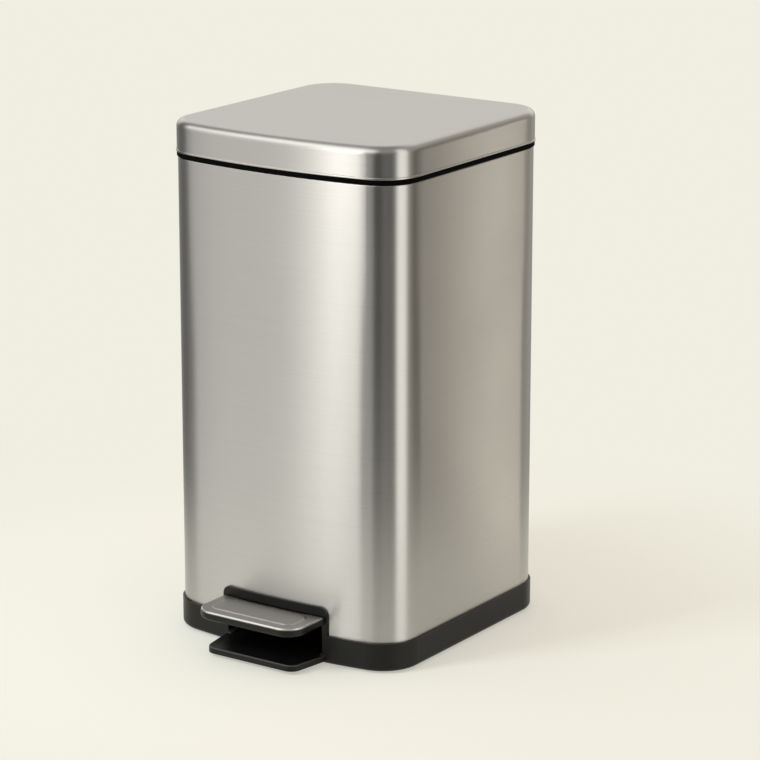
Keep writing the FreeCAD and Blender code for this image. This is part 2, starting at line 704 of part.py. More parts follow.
def make_collar():
    body = new_body("collar")
    bucket_rear = back - d.bucket_back
    rim_room = d.rim_width + d.rim_play
    opening = body_plan(
        d.bucket_play - d.bucket_inset, bucket_rear + d.bucket_play, d.bucket_corner + d.bucket_play
    )
    recess = body_plan(rim_room - d.bucket_inset, bucket_rear + rim_room, d.bucket_corner + rim_room)
    ring = pad(plan_sketch(body, d.body_top, body_plan(d.collar_overhang), opening), d.collar_height)
    round_edges(ring, d.collar_edge, outermost(ring))
    cut(plan_sketch(body, collar_top, recess), d.rim_thick)
    skirt = -d.top_lip - d.collar_play
    skirt_low = d.body_top - d.collar_skirt
    pad(plan_sketch(body, skirt_low, body_plan(skirt), body_plan(skirt - d.collar_wall)), d.collar_skirt)
    slot = new_sketch(body, "XY", skirt_low)
    slot_front = eye_y - d.crank_drop / 2 - d.crank_eye
    slot_back = eye_y + d.crank_eye + d.crank_room
    add_rectangle(slot, rod_head - d.rod_gap, rod_x + d.rod_bend, slot_front, slot_back)
    cut(slot, 2 * d.collar_skirt, forwards=True)
    cut(circles_sketch(body, "XY", collar_top, bumper_places, d.bumper_radius + d.screw_fit), d.bumper_seat)
    return body


# Inner bucket with tapered walls, a rim and two hand holes


def bucket_plan(inset, share):
    """Plan of the bucket at a share of its taper, moved inwards by inset."""
    taper = share * d.bucket_taper
    inwards = d.bucket_inset + taper + inset
    return body_plan(-inwards, back - d.bucket_back - taper - inset, d.bucket_corner - taper - inset)


def loft(kind, low_sketch, high_sketch):
    body = low_sketch.getParentGeoFeatureGroup()
    feature = body.newObject(f"PartDesign::{kind}", f"{body.Name}_loft")
    feature.Profile = low_sketch
    feature.Sections = [high_sketch]
    feature.Ruled = True
    doc.recompute()
    return feature


def make_inner_bucket():
    body = new_body("inner_bucket")
    wall = d.bucket_wall
    low = plan_sketch(body, d.bucket_floor, bucket_plan(ZERO, 1))
    high = plan_sketch(body, rim_low, bucket_plan(ZERO, 0))
    loft("AdditiveLoft", low, high)
    inner_low = plan_sketch(body, d.bucket_floor + wall, bucket_plan(wall, 1))
    inner_high = plan_sketch(body, rim_low, bucket_plan(wall, 0))
    inside = loft("SubtractiveLoft", inner_low, inner_high)
    rounded = round_edges(inside, d.bucket_edge - wall, level_at(d.bucket_floor + wall))
    round_edges(rounded, d.bucket_edge, level_at(d.bucket_floor))
    pad(plan_sketch(body, rim_low, bucket_plan(-d.rim_width, 0), bucket_plan(wall, 0)), d.rim_thick)
    holes = new_sketch(body, "YZ", 0)
    half = d.hand_hole_length / 2
    middle = rim_low - d.hand_hole_drop
    hole_half = d.hand_hole_height / 2
    add_round_rectangle(holes, -half, half, middle - hole_half, middle + hole_half, d.hand_hole_corner)
    cut(holes, 2 * d.body_width, both=True)
    return body


# Steel lid skin with a rounded upper edge, a beaded lower edge, a hem and a notch for the hinge bridge


def make_lid_skin():
    body = new_body("lid_skin")
    inner = d.lid_overhang - d.sheet_wall
    inner_low = lid_low + d.sheet_wall
    inner_high = lid_top - d.sheet_wall
    bead = pad(plan_sketch(body, lid_low, body_plan(d.lid_overhang + d.bead_proud)), d.bead_height)
    round_edges(bead, d.bead_edge, outermost(bead))
    pad(plan_sketch(body, lid_low, body_plan(d.lid_overhang)), d.lid_height)
    hollow = cut(plan_sketch(body, inner_low, body_plan(inner)), inner_high - inner_low, forwards=True)
    rounded = round_edges(hollow, d.lid_edge - d.sheet_wall, level_at(inner_high))
    round_edges(rounded, d.lid_edge, level_at(lid_top))
    cut(plan_sketch(body, lid_low, body_plan(d.lid_overhang - d.lid_hem)), 2 * d.sheet_wall, forwards=True)
    notch = new_sketch(body, "XZ", 0)
    half = bridge_half + d.lid_play
    add_rectangle(notch, -half, half, d.body_top, bridge_high + d.lid_play)
    cut(notch)
    return body


# Lid liner, a tray that rests on the lid's hem, with the bridge that carries the hinge knuckles


def make_lid_liner():
    body = new_body("lid_liner")
    outer = d.lid_overhang - d.sheet_wall - d.lid_play
    tray = pad(plan_sketch(body, bridge_low, body_plan(outer)), d.liner_height)
    round_edges(tray, d.liner_edge + d.liner_wall, level_at(bridge_low + d.liner_height))
    hollow_height = d.liner_height - d.liner_wall
    hollow = cut(plan_sketch(body, bridge_low, body_plan(outer - d.liner_wall)), hollow_height, forwards=True)
    round_edges(hollow, d.liner_edge, level_at(bridge_low + hollow_height))
    add_bridge(body)
    add_knuckles(body)
    return body


def add_bridge(body):
    bridge = new_sketch(body, "XY", bridge_low)
    rear = back + d.bridge_proud
    gap_end = d.crank_side + d.crank_gap
    add_rectangle(bridge, -bridge_half, bridge_half, back - d.bridge_depth, rear)
    pad(bridge, d.bridge_height)
    gap = new_sketch(body, "XY", bridge_low)
    add_rectangle(gap, d.crank_side, gap_end, back - 2 * d.bridge_depth, rear + d.bridge_depth)
    cut(gap, d.bridge_height + d.lid_play, forwards=True)
    screws = circles_sketch(body, "YZ", d.crank_side, crank_screw_places, d.screw_radius + d.press_fit)
    cut(screws, d.crank_screw_length)


def add_knuckles(body):
    reach = d.hinge_setback
    for start in (d.knuckle_start, -knuckle_end):
        knuckle = new_sketch(body, "YZ", start)
        add_circle(knuckle, hinge_y, hinge_z, d.knuckle_radius)
        pad(knuckle, d.knuckle_length)
        arm = new_sketch(body, "YZ", start)
        low_corner = (hinge_y - reach, bridge_low)
        high_corner = (hinge_y - reach, bridge_high)
        inside_round = 0.7 * d.knuckle_radius
        top_corner = (hinge_y + inside_round, hinge_z + inside_round)
        add_polygon(arm, [low_corner, (hinge_y, hinge_z), top_corner, high_corner])
        pad(arm, d.knuckle_length)
    bore = d.pin_radius + d.running_fit
    cut(circles_sketch(body, "YZ", -d.knuckle_start, [(hinge_y, hinge_z)], bore))
    cut(circles_sketch(body, "YZ", knuckle_end, [(hinge_y, hinge_z)], bore), d.pin_grip)
    socket = new_sketch(body, "YZ", d.knuckle_start)
    half = d.rotor_square / 2 + d.running_fit
    add_rectangle(socket, hinge_y - half, hinge_y + half, hinge_z - half, hinge_z + half)
    cut(socket, d.rotor_grip + d.running_fit, forwards=True)


# Crank plate on the lid, with the eye that the lift rod pushes on


def make_lid_crank():
    body = new_body("lid_crank")
    plate = new_sketch(body, "YZ", d.crank_side)
    near = back - d.bridge_depth + d.crank_margin
    far = back + d.bridge_proud - d.crank_margin
    shoulder = bridge_low + d.crank_step
    top = bridge_high - d.crank_margin
    add_polygon(
        plate,
        [
            (eye_y - d.crank_eye, eye_z),
            (eye_y + d.crank_eye, eye_z),
            (eye_y + d.crank_eye + d.crank_step, bridge_low),
            (far, shoulder),
            (far, top),
            (near, top),
            (near, shoulder),
        ],
    )
    pad(plate, d.crank_thick)
    pad(circles_sketch(body, "YZ", d.crank_side, [(eye_y, eye_z)], d.crank_eye), d.crank_thick)
    far_side = d.crank_side + d.crank_thick
    eye = d.rod_radius + d.running_fit
    cut(circles_sketch(body, "YZ", far_side, [(eye_y, eye_z)], eye), 2 * d.crank_thick)
    hole = d.screw_radius + d.screw_fit
    cut(circles_sketch(body, "YZ", far_side, crank_screw_places, hole), 2 * d.crank_thick)
    return body


# Hinge housing on the body's back, with ears, bores and a finger grip below


def make_hinge_housing():
    body = new_body("hinge_housing")
    half = ear_outer_end + d.housing_margin
    rear = back + d.hinge_reach
    slope = d.housing_edge
    block = new_sketch(body, "YZ", 0)
    add_polygon(
        block,
        [
            (back, housing_low),
            (rear - slope, housing_low),
            (rear, housing_low + 2 * slope),
            (rear, housing_top - slope),
            (rear - slope, housing_top),
            (back, housing_top),
        ],
    )
    solid = pad(block, 2 * half, both=True)
    at_end = at_ends(half)
    wall = back.value + TOUCH
    round_edges(solid, slope, lambda box: at_end(box) and box.YMin > wall)
    for start, length in (
        (ear_inner_start, d.inner_ear),
        (-ear_inner_end, d.inner_ear),
        (ear_outer_start, d.outer_ear),
        (-ear_outer_end, d.outer_ear),
    ):
        add_ear(body, start, length)
    add_housing_bores(body)
    return body


def add_ear(body, start, length):
    ear = new_sketch(body, "YZ", start)
    add_circle(ear, hinge_y, hinge_z, d.ear_radius)
    pad(ear, length)
    leg = new_sketch(body, "YZ", start)
    add_rectangle(leg, hinge_y - d.ear_radius, hinge_y + d.ear_radius, housing_top - d.housing_edge, hinge_z)
    pad(leg, length)


def add_housing_bores(body):
    axis = [(hinge_y, hinge_z)]
    pin = d.pin_radius + d.press_fit
    cut(circles_sketch(body, "YZ", 0, axis, pin))
    cut(circles_sketch(body, "YZ", ear_outer_start, axis, pin), forwards=True)
    barrel = d.damper_radius + d.press_fit
    cut(circles_sketch(body, "YZ", ear_inner_start, axis, barrel), d.inner_ear, forwards=True)
    hole = d.screw_radius + d.press_fit
    cut(circles_sketch(body, "XZ", -back, housing_screw_places, hole), d.housing_screw_length)
    grip = new_sketch(body, "XY", housing_low)
    half = d.grip_width / 2
    add_rectangle(grip, -half, half, back + d.grip_wall, back + d.hinge_reach - d.grip_wall)
    cut(grip, d.grip_depth, forwards=True)


# Hinge pins: a long one through one knuckle and a short one in the other


def make_hinge_pins():
    body = new_body("hinge_pins")
    axis = [(hinge_y, hinge_z)]
    long_pin = circles_sketch(body, "YZ", -ear_outer_end, axis, d.pin_radius)
    pad(long_pin, ear_outer_end - ear_inner_start)
    short_start = knuckle_end - d.pin_grip + d.running_fit
    pad(circles_sketch(body, "YZ", short_start, axis, d.pin_radius), ear_outer_end - short_start)
    return body


# Soft-close damper: a fixed barrel and a rotor that turns with the lid


def make_damper_barrel():
    body = new_body("damper_barrel")
    axis = [(hinge_y, hinge_z)]
    pad(circles_sketch(body, "YZ", ear_inner_start, axis, d.damper_radius), d.inner_ear)
    bore = circles_sketch(body, "YZ", ear_inner_end, axis, d.rotor_radius + d.running_fit)
    cut(bore, d.inner_ear - d.damper_floor)
    return body


def make_damper_rotor():
    body = new_body("damper_rotor")
    axis = [(hinge_y, hinge_z)]
    start = ear_inner_start + d.damper_floor + d.lid_play
    collar_start = ear_inner_end + d.lid_play
    pad(circles_sketch(body, "YZ", start, axis, d.rotor_radius), collar_start - start)
    collar_end = d.knuckle_start - d.running_fit
    pad(circles_sketch(body, "YZ", collar_start, axis, d.damper_radius), collar_end - collar_start)
    square = new_sketch(body, "YZ", collar_end)
    half = d.rotor_square / 2
    add_rectangle(square, hinge_y - half, hinge_y + half, hinge_z - half, hinge_z + half)
    pad(square, d.rotor_grip)
    return body


# Lift rod: one wire with both ends bent over, through the lever's slot and the crank's eye


def make_lift_rod():
    body = new_body("lift_rod")
    path = new_sketch(body, "XZ", -eye_y)
    foot_end = -d.lever_width / 2 - d.rod_gap - d.clip_thick - d.rod_radius
    bend = d.rod_bend
    low, high, side, r = d.rod_foot.value, eye_z.value, rod_x.value, bend.value
    shapes = [
        line((foot_end.value, low), (side - r, low)),
        arc((side - r, low + r), r, 270, 360),
        line((side, low + r), (side, high - r)),
        arc((side - r, high - r), r, 0, 90),
        line((side - r, high), (rod_head.value, high)),
    ]
    items = list(path.addGeometry(shapes, False))
    for item, following in zip(items, items[1:]):
        path.addConstraint(Sketcher.Constraint("Tangent", item, 2, following, 1))
    path.addConstraint(Sketcher.Constraint("Horizontal", items[0]))
    path.addConstraint(Sketcher.Constraint("Vertical", items[2]))
    path.addConstraint(Sketcher.Constraint("Horizontal", items[4]))
    for curve in (items[1], items[3]):
        dimension(path, Sketcher.Constraint("Radius", curve, r), bend)
    fix_x(path, items[0], 1, foot_end)
    fix_y(path, items[0], 1, d.rod_foot)
    fix_x(path, items[2], 1, rod_x)
    fix_x(path, items[4], 2, rod_head)
    fix_y(path, items[4], 2, eye_z)
    section = circles_sketch(body, "YZ", foot_end, [(eye_y, d.rod_foot)], d.rod_radius)
    doc.recompute()
    pipe = body.newObject("PartDesign::AdditivePipe", "lift_rod_pipe")
    pipe.Profile = section
    pipe.Spine = (path, [f"Edge{i}" for i in range(1, 6)])
    doc.recompute()
    return body


def make_rod_clips():
    body = new_body("rod_clips")
    low_start = -d.lever_width / 2 - d.rod_gap - d.clip_thick
    high_start = d.crank_side - d.clip_thick - d.lid_play
    for start, height in ((low_start, d.rod_foot), (high_start, eye_z)):
        ring = new_sketch(body, "YZ", start)
        add_circle(ring, eye_y, height, d.clip_radius)
        add_circle(ring, eye_y, height, d.rod_radius + d.press_fit)
        pad(ring, d.clip_thick)
    return body


# Pedal lever: a steel channel from the pedal over its axle to the lift rod


def make_pedal_lever():
    body = new_body("pedal_lever")
    start = lever_front
    bend = front + d.tunnel_depth / 2
    end = eye_y + d.slot_travel + d.slot_margin
    slot_half = d.rod_radius + d.slot_play
    rear_high = d.rod_foot + slot_half + d.slot_margin
    rear_low = d.rod_foot - slot_half - d.slot_margin
    axle_high = d.axle_height + d.lever_rise
    axle_low = d.axle_height - d.lever_rise
    upper = [(start, d.lever_top), (bend, d.lever_top), (axle_y, axle_high), (end, rear_high)]
    bend_low = pedal_low - d.lever_bend_drop
    lower = [(end, rear_low), (axle_y, axle_low), (bend, bend_low), (start, pedal_low - d.lever_drop)]
    profile = new_sketch(body, "YZ", 0)
    add_polygon(profile, lower[::-1] + upper[::-1])
    pad(profile, d.lever_width, both=True)
    hollow = new_sketch(body, "YZ", 0)
    ceiling = [(y, z - d.lever_wall) for y, z in upper]
    below = [(end, ZERO), (start, ZERO)]
    add_polygon(hollow, below + ceiling)
    cut(hollow, d.lever_width - 2 * d.lever_wall, both=True)
    holes = new_sketch(body, "YZ", 0)
    add_slot(holes, eye_y - d.slot_shift, d.rod_foot, d.slot_travel, slot_half)
    add_circle(holes, axle_y, d.axle_height, d.axle_radius + d.press_fit)
    cut(holes, 2 * d.lever_width, both=True)
    screws = circles_sketch(body, "XY", d.lever_top, pedal_screw_places, d.screw_radius + d.screw_fit)
    cut(screws, 2 * d.lever_wall)
    return body


# Pedal pad and the steel tread plate on it


def pedal_slab(body, low, height, inset):
    """Slab with the pedal's plan moved inwards, its back edge cut to the bow of the front."""
    sketch = new_sketch(body, "XY", low)
    half = d.pedal_width / 2 - inset
    add_round_rectangle(
        sketch, -half, half, pedal_front + inset, front + 2 * d.pedal_corner, d.pedal_corner - inset
    )
    pad(sketch, height)
    trim = plan_sketch(body, low, body_plan(d.base_overhang + d.pedal_gap + inset))
    return cut(trim, 2 * d.pedal_thick, forwards=True)


def make_pedal_pad():
    body = new_body("pedal_pad")
    slab = pedal_slab(body, pedal_low, pad_top - pedal_low, ZERO)
    round_edges(slab, d.pedal_edge, level_at(pedal_low))
    socket = new_sketch(body, "XY", pedal_low)
    half = d.lever_width / 2 + d.side_play
    add_rectangle(socket, -half, half, lever_front - d.side_play, front)
    cut(socket, d.lever_top - pedal_low + d.press_fit, forwards=True)
    screws = circles_sketch(body, "XY", pedal_low, pedal_screw_places, d.screw_radius + d.press_fit)
    cut(screws, d.lever_top - pedal_low + d.pedal_screw_grip, forwards=True)
    return body


def make_pedal_tread():
    body = new_body("pedal_tread")
    plate = pedal_slab(body, pad_top, d.tread_thick, d.tread_inset)
    panel_low = pad_top + d.tread_thick
    round_edges(plate, d.tread_edge, level_at(panel_low))
    half = d.pedal_width / 2 - d.tread_inset - d.tread_border
    panel = new_sketch(body, "XY", panel_low)
    panel_rear = front - d.base_overhang - d.pedal_gap - d.tread_inset - d.tread_border / 2
    panel_front = pedal_front + d.tread_inset + d.tread_border
    corner = d.pedal_corner - d.tread_border
    add_round_rectangle(panel, -half, half, panel_front, panel_rear, corner)
    raised = pad(panel, d.tread_rise)
    round_edges(raised, 0.8 * d.tread_rise, level_at(d.pedal_top))
    return body


# Pedal axle with its bushes and end caps


def make_pedal_axle():
    body = new_body("pedal_axle")
    sketch = circles_sketch(body, "YZ", 0, [(axle_y, d.axle_height)], d.axle_radius)
    pad(sketch, 2 * (post_end + d.cap_depth), both=True)
    return body


def make_axle_bushes():
    body = new_body("axle_bushes")
    bore = d.axle_radius + d.running_fit
    for start, sleeve in ((post_start - d.bush_wall, post_start), (-post_start, -post_end)):
        for begin, length, radius in (
            (start, d.bush_wall, d.bush_flange),
            (sleeve, d.post_thick, bore + d.bush_wall),
        ):
            ring = new_sketch(body, "YZ", begin)
            add_circle(ring, axle_y, d.axle_height, radius)
            add_circle(ring, axle_y, d.axle_height, bore)
            pad(ring, length)
    return body


def make_axle_caps():
    body = new_body("axle_caps")
    start = post_end + d.side_play
    depth = d.cap_depth - d.side_play + d.press_fit
    axis = [(axle_y, d.axle_height)]
    for side in (1, -1):
        begin = start if side > 0 else -start - d.cap_length
        pad(circles_sketch(body, "YZ", begin, axis, d.cap_radius), d.cap_length)
        bore = circles_sketch(body, "YZ", side * start, axis, d.axle_radius + d.press_fit)
        cut(bore, depth, forwards=side > 0)
    return body


# Rod guard: a folded channel on the inside of the body's back


def make_rod_guard():
    body = new_body("rod_guard")
    wall = d.sheet_wall
    rear = shell_inside
    middle = (rod_x + d.crank_side) / 2
    left = middle - d.guard_width / 2
    right = middle + d.guard_width / 2
    near = rear - d.guard_depth
    section = new_sketch(body, "XY", d.guard_low)
    add_polygon(
        section,
        [
            (left - d.guard_flange, rear),
            (left - d.guard_flange, rear - wall),
            (left, rear - wall),
            (left, near),
            (right, near),
            (right, rear - wall),
            (right + d.guard_flange, rear - wall),
            (right + d.guard_flange, rear),
            (right - wall, rear),
            (right - wall, near + wall),
            (left + wall, near + wall),
            (left + wall, rear),
        ],
    )
    pad(section, d.body_top - d.guard_drop - d.guard_low)
    return body


# Screws, nuts, feet and bumpers


def make_screws(name, plane, seat, places, length, heads_forward):
    """Group of pan head screws whose heads rest on a plane at seat; the shanks run the other way."""
    body = new_body(name)
    heads = circles_sketch(body, plane, seat, places, d.head_radius)
    pad(heads, d.head_height, back_wards=not heads_forward)
    shanks = circles_sketch(body, plane, seat, places, d.screw_radius)
    pad(shanks, length, back_wards=heads_forward)
    return body


def make_base_nuts():
    body = new_body("base_nuts")
    low = floor_top + d.sheet_wall
    sketch = new_sketch(body, "XY", low)
    half = d.nut_side / 2
    for x, y in base_screw_places:
        add_rectangle(sketch, x - half, x + half, y - half, y + half)
        add_circle(sketch, x, y, d.screw_radius + d.press_fit)
    pad(sketch, d.nut_thick)
    return body


def make_rubber_feet():
    body = new_body("rubber_feet")
    feet = pad(circles_sketch(body, "XY", 0, foot_places, d.foot_radius), d.foot_thick)
    round_edges(feet, d.foot_thick / 4, level_at(ZERO))
    return body


def make_lid_bumpers():
    body = new_body("lid_bumpers")
    low = collar_top - d.bumper_seat
    high = lid_low - d.bumper_play
    buttons = pad(circles_sketch(body, "XY", low, bumper_places, d.bumper_radius), high - low)
    round_edges(buttons, d.bumper_seat / 4, level_at(high))
    return body


crank_far = d.crank_side + d.crank_thick
lever_under = d.lever_top - d.lever_wall
pedal_screw_length = d.lever_wall + d.pedal_screw_grip
parts = [
    make_body_shell(),
    make_base_tray(),
    make_collar(),
    make_inner_bucket(),
    make_lid_skin(),
    make_lid_liner(),
    make_lid_crank(),
    make_hinge_housing(),
    make_hinge_pins(),
    make_damper_barrel(),
    make_damper_rotor(),
    make_lift_rod(),
    make_rod_clips(),
    make_pedal_lever(),
    make_pedal_pad(),
    make_pedal_tread(),
    make_pedal_axle(),
    make_axle_bushes(),
    make_axle_caps(),
    make_rod_guard(),
    make_base_nuts(),
    make_rubber_feet(),
    make_lid_bumpers(),
    make_screws("base_screws", "XY", d.floor_low, base_screw_places, d.floor_thick + d.base_screw_end, False),
    make_screws("housing_screws", "XZ", -shell_inside, housing_screw_places, d.housing_screw_length, True),
    make_screws("crank_screws", "YZ", crank_far, crank_screw_places, d.crank_screw_length, True),
    make_screws("pedal_screws", "XY", lever_under, pedal_screw_places, pedal_screw_length, False),
]

# Every object is checked before the files are written
doc.recompute()
for item in doc.Objects:
    if "Invalid" in item.State or "Error" in item.State:
        raise RuntimeError(f"{item.Name} has the state {item.State}")
os.makedirs("parts", exist_ok=True)
for part in parts:
    if part.Shape.isNull() or not part.Shape.isValid():
        raise RuntimeError(f"{part.Label} has no valid shape")
    part.Shape.exportStep(f"parts/{part.Label}.step")
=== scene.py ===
"""Looks of a square pedal bin: brushed steel skins over black mouldings, in a pale studio."""

import math

import bpy
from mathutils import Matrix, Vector


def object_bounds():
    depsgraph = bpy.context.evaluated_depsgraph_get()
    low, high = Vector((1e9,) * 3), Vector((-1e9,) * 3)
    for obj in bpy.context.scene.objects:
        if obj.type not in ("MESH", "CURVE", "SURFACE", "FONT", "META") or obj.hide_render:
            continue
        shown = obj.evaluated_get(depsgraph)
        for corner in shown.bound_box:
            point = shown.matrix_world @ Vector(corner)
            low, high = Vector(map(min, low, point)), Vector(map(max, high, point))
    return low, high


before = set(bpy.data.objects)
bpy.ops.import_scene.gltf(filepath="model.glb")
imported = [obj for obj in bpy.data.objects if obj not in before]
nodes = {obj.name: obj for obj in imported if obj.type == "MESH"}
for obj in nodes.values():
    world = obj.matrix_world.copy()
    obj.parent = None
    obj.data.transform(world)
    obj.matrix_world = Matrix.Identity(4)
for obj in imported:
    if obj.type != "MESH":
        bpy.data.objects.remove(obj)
cad_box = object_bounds()

# Nodes that share a finish
STEEL_SKINS = ["body_shell", "lid_skin"]
BLACK_MOULDINGS = ["base_tray", "lid_liner", "hinge_housing", "pedal_pad"]
ZINC_PIECES = [
    "lift_rod",
    "lid_crank",
    "hinge_pins",
    "pedal_axle",
    "rod_clips",
    "rod_guard",
    "base_nuts",
    "base_screws",
    "housing_screws",
    "crank_screws",
    "pedal_screws",
]
GREY_MOULDINGS = ["damper_barrel", "damper_rotor", "axle_bushes", "axle_caps"]
RUBBER_PIECES = ["rubber_feet", "lid_bumpers"]

# Colours of the pieces, linear
STEEL = (0.63, 0.62, 0.61, 1)
ZINC = (0.52, 0.53, 0.54, 1)
# Collar: its own black, darkened further by painted shade from the gap under the lid
RING_BLACK_AND_SHADE = (0.0025, 0.0025, 0.0025, 1)
MOULDED_BLACK = (0.007, 0.007, 0.007, 1)
LEVER_BLACK = (0.02, 0.02, 0.02, 1)
RUBBER_BLACK = (0.025, 0.025, 0.025, 1)
BUCKET_GREY = (0.045, 0.045, 0.048, 1)
MOULDED_GREY = (0.3, 0.3, 0.31, 1)
BLACK = (0, 0, 0, 1)

# Colours of the studio, linear
BACKGROUND = (0.871, 0.855, 0.753, 1)
STUDIO_TINT = (1.0, 0.985, 0.92, 1)
RIGHT_TINT = (1.0, 0.94, 0.81, 1)
FILL = (0.6, 0.54, 0.44, 1)
FLOOR = (0.97, 0.9, 0.84, 1)
FLOOR_GLOW = (1.03, 1.04, 0.94, 1)
LAMP_TINT = (0.75, 0.95, 1.0)
STRIP_TINT = (1.0, 0.985, 0.93)
CARD_TINT = (1.0, 0.93, 0.8)

# Range in which most values of a noise lie
NOISE_RANGE = (0.3, 0.7)

# Grain of the steel: cells per metre along and across it, and the fine grain's share
FINE_GRAIN = (12, 2600)
BROAD_GRAIN = (3, 500)
FINE_SHARE = 0.7

# Direction in which the brushing spreads reflections: up the walls and front to back on level faces
ACROSS_GRAIN = (0.0, 0.05, 1.0)

# Finishes: cells of their clouds per metre, and radius in metres by which shading rounds their edges
STEEL_CLOUD = 7.0
PLASTIC_CLOUD = 18.0
ZINC_CLOUD = 90.0
STEEL_EDGE = 0.0005
TREAD_EDGE = 0.003
PLASTIC_EDGE = 0.0012
ZINC_EDGE = 0.0004

# Factors on a finish's colour where its grain or cloud is darkest and where it is lightest
STEEL_SHADES = (0.96, 1.03)
PLASTIC_SHADES = (0.85, 1.2)
ZINC_SHADES = (0.85, 1.08)

# Factors on the steel's colour for the tread's face and for the painted highlight on its rounded edges
TREAD_FACE = 0.5
TREAD_HIGHLIGHT = 1.5

# What grain and clouds add to a finish's roughness, least and most, and the zinc's whole roughness
GRAIN_ROUGHNESS = (-0.02, 0.02)
STEEL_ROUGHNESS = (-0.015, 0.015)
PLASTIC_ROUGHNESS = (-0.05, 0.05)
ZINC_ROUGHNESS = (0.24, 0.4)

# Range of the steel's grain over which its roughness changes
COARSE_RANGE = (0.25, 0.75)

# Upward part of a rounded normal, which bounds the painted highlight on upper edges: where an upper edge
# starts above a wall and where it is one fully, and where it ends below a level face and where it is still
# one fully
EDGE_ABOVE_WALL = (0.1, 0.4)
EDGE_BELOW_TOP = (0.98, 0.88)
TREAD_BELOW_TOP = (0.995, 0.93)

# Part of a face's direction along an axis from which it starts to face that way, and at which it does fully
FACING_RANGE = (0.6, 0.8)

# Upward part of a face's direction at which it stops being a wall, and below which it is one fully
WALL_RANGE = (0.5, 0.1)

# Rearward part of a face's direction between which the front's values give way to the back's
REAR_RANGE = (-0.1, 0.1)

# Walls of the sheet: where the corners start, from the middle of the sheet, in metres
FRONT_START = 0.122
BACK_START = 0.115
SIDE_START = 0.1147
SIDE_MIDDLE = 0.0233

# Sideways part of a face's direction from which it belongs to a corner, on the bowed front and on flat walls
FRONT_SLOPE = 0.174
FLAT_SLOPE = 0.03

# Ease of the sheet into its corners: reach in metres, turn at the corner's start, turn of its first facet
EASE_REACH = 0.015
EASE_TURN = 0.083
FACET_TURN = 0.06

# Heights in metres between which the ease grows downwards, and its share at the upper one
EASE_HIGH = 0.52
EASE_LOW = 0.3
EASE_SHARE = 0.4

# Camera: place in metres, turn about Z and tilt in degrees, lens in millimetres
CAMERA_PLACE = (2.0755, -2.9533, 1.2778)
CAMERA_YAW = 34.47
CAMERA_TILT = 74.78
CAMERA_LENS = 151.46
SENSOR_WIDTH = 36

# Floor: radius up to which it is full and radius at which it has faded into the background
FLOOR_FULL = 0.32
FLOOR_END = 0.8

# Share of the seen floor that glows like the background, which leaves its shadows pale
GLOW_SHARE = 0.42

# Share of the floor that metal sees through
MIRRORED_CLEAR = 0.3

# Studio round the bin, as metal sees it: azimuth from the front towards +X in degrees, and brightness
ROOM = [
    (-180, 0.36),
    (-135, 0.34),
    (-105, 0.2),
    (-82, 0.16),
    (-62, 0.22),
    (-57, 0.4),
    (-52, 0.75),
    (-36, 0.66),
    (-30, 0.76),
    (-26, 1.24),
    (-20.5, 1.14),
    (-17, 0.38),
    (-14.2, 0.06),
    (-8, 0.3),
    (5, 0.14),
    (14, 0.03),
    (24, 0.05),
    (40, 0.13),
    (62, 0.12),
    (84, 1.2),
    (93, 1.2),
    (113, 0.42),
    (138, 0.14),
    (148, 0.1),
    (156, 0.34),
    (168, 0.4),
    (180, 0.36),
]

# Brightness at the top of the curve that holds the studio's levels
ROOM_TOP = 2.0

# Sky over the studio, as metal sees it: brightness overhead, behind the bin on its left, on its right,
# and of a softbox at the front on the left
SKY_LEVEL = 0.3
SWEEP_LEVEL = 0.9
RIGHT_LEVEL = 0.4
SOFTBOX_LEVEL = 1.7

# Edges of the sky's parts, as parts of a unit direction: where each starts and where it is full
BEHIND = (0.2, 0.5)
AHEAD = (0.1, 0.4)
LEFT = (0.35, 0.0)
RIGHT = (0.0, 0.35)
SWEEP_HEIGHT = (-0.02, 0.15)
REAR_HEIGHT = (0.1, 0.3)
FRONT_HEIGHT = (0.22, 0.42)
SOFTBOX_HEIGHT = (0.25, 0.4)
OVERHEAD_HEIGHT = (0.7, 0.9)
WARM_RANGE = (0.1, 0.4)


# Node helpers


def add_node(tree, kind, **settings):
    item = tree.nodes.new(kind)
    for name, value in settings.items():
        setattr(item, name, value)
    return item


def math_node(tree, operation, *values):
    """Math node whose inputs are sockets or numbers."""
    item = add_node(tree, "ShaderNodeMath", operation=operation)
    for socket, value in zip(item.inputs, values):
        if isinstance(value, (int, float)):
            socket.default_value = value
        else:
            tree.links.new(value, socket)
    return item.outputs[0]


def product(tree, first, *others):
    for other in others:
        first = math_node(tree, "MULTIPLY", first, other)
    return first


def size_of(tree, value):
    """Value without its sign."""
    return math_node(tree, "ABSOLUTE", value)


def spread(tree, value, low, high, to_low=0.0, to_high=1.0, smooth=False):
    """Value mapped from one range to another, held at the ends."""
    item = add_node(tree, "ShaderNodeMapRange", clamp=True)
    if smooth:
        item.interpolation_type = "SMOOTHSTEP"
    tree.links.new(value, item.inputs["Value"])
    for name, number in (("From Min", low), ("From Max", high), ("To Min", to_low), ("To Max", to_high)):
        item.inputs[name].default_value = number
    return item.outputs["Result"]


def split(tree, vector):
    """Parts of a vector, by the letter of the axis."""
    item = add_node(tree, "ShaderNodeSeparateXYZ")
    tree.links.new(vector, item.inputs[0])
    return item.outputs


def vector_node(tree, operation, *vectors):
    item = add_node(tree, "ShaderNodeVectorMath", operation=operation)
    for socket, vector in zip(item.inputs, vectors):
        tree.links.new(vector, socket)
    return item.outputs


def noise(tree, vector, scale, detail):
    item = add_node(tree, "ShaderNodeTexNoise")
    item.inputs["Scale"].default_value = scale
    item.inputs["Detail"].default_value = detail
    tree.links.new(vector, item.inputs["Vector"])
    return item.outputs["Fac"]


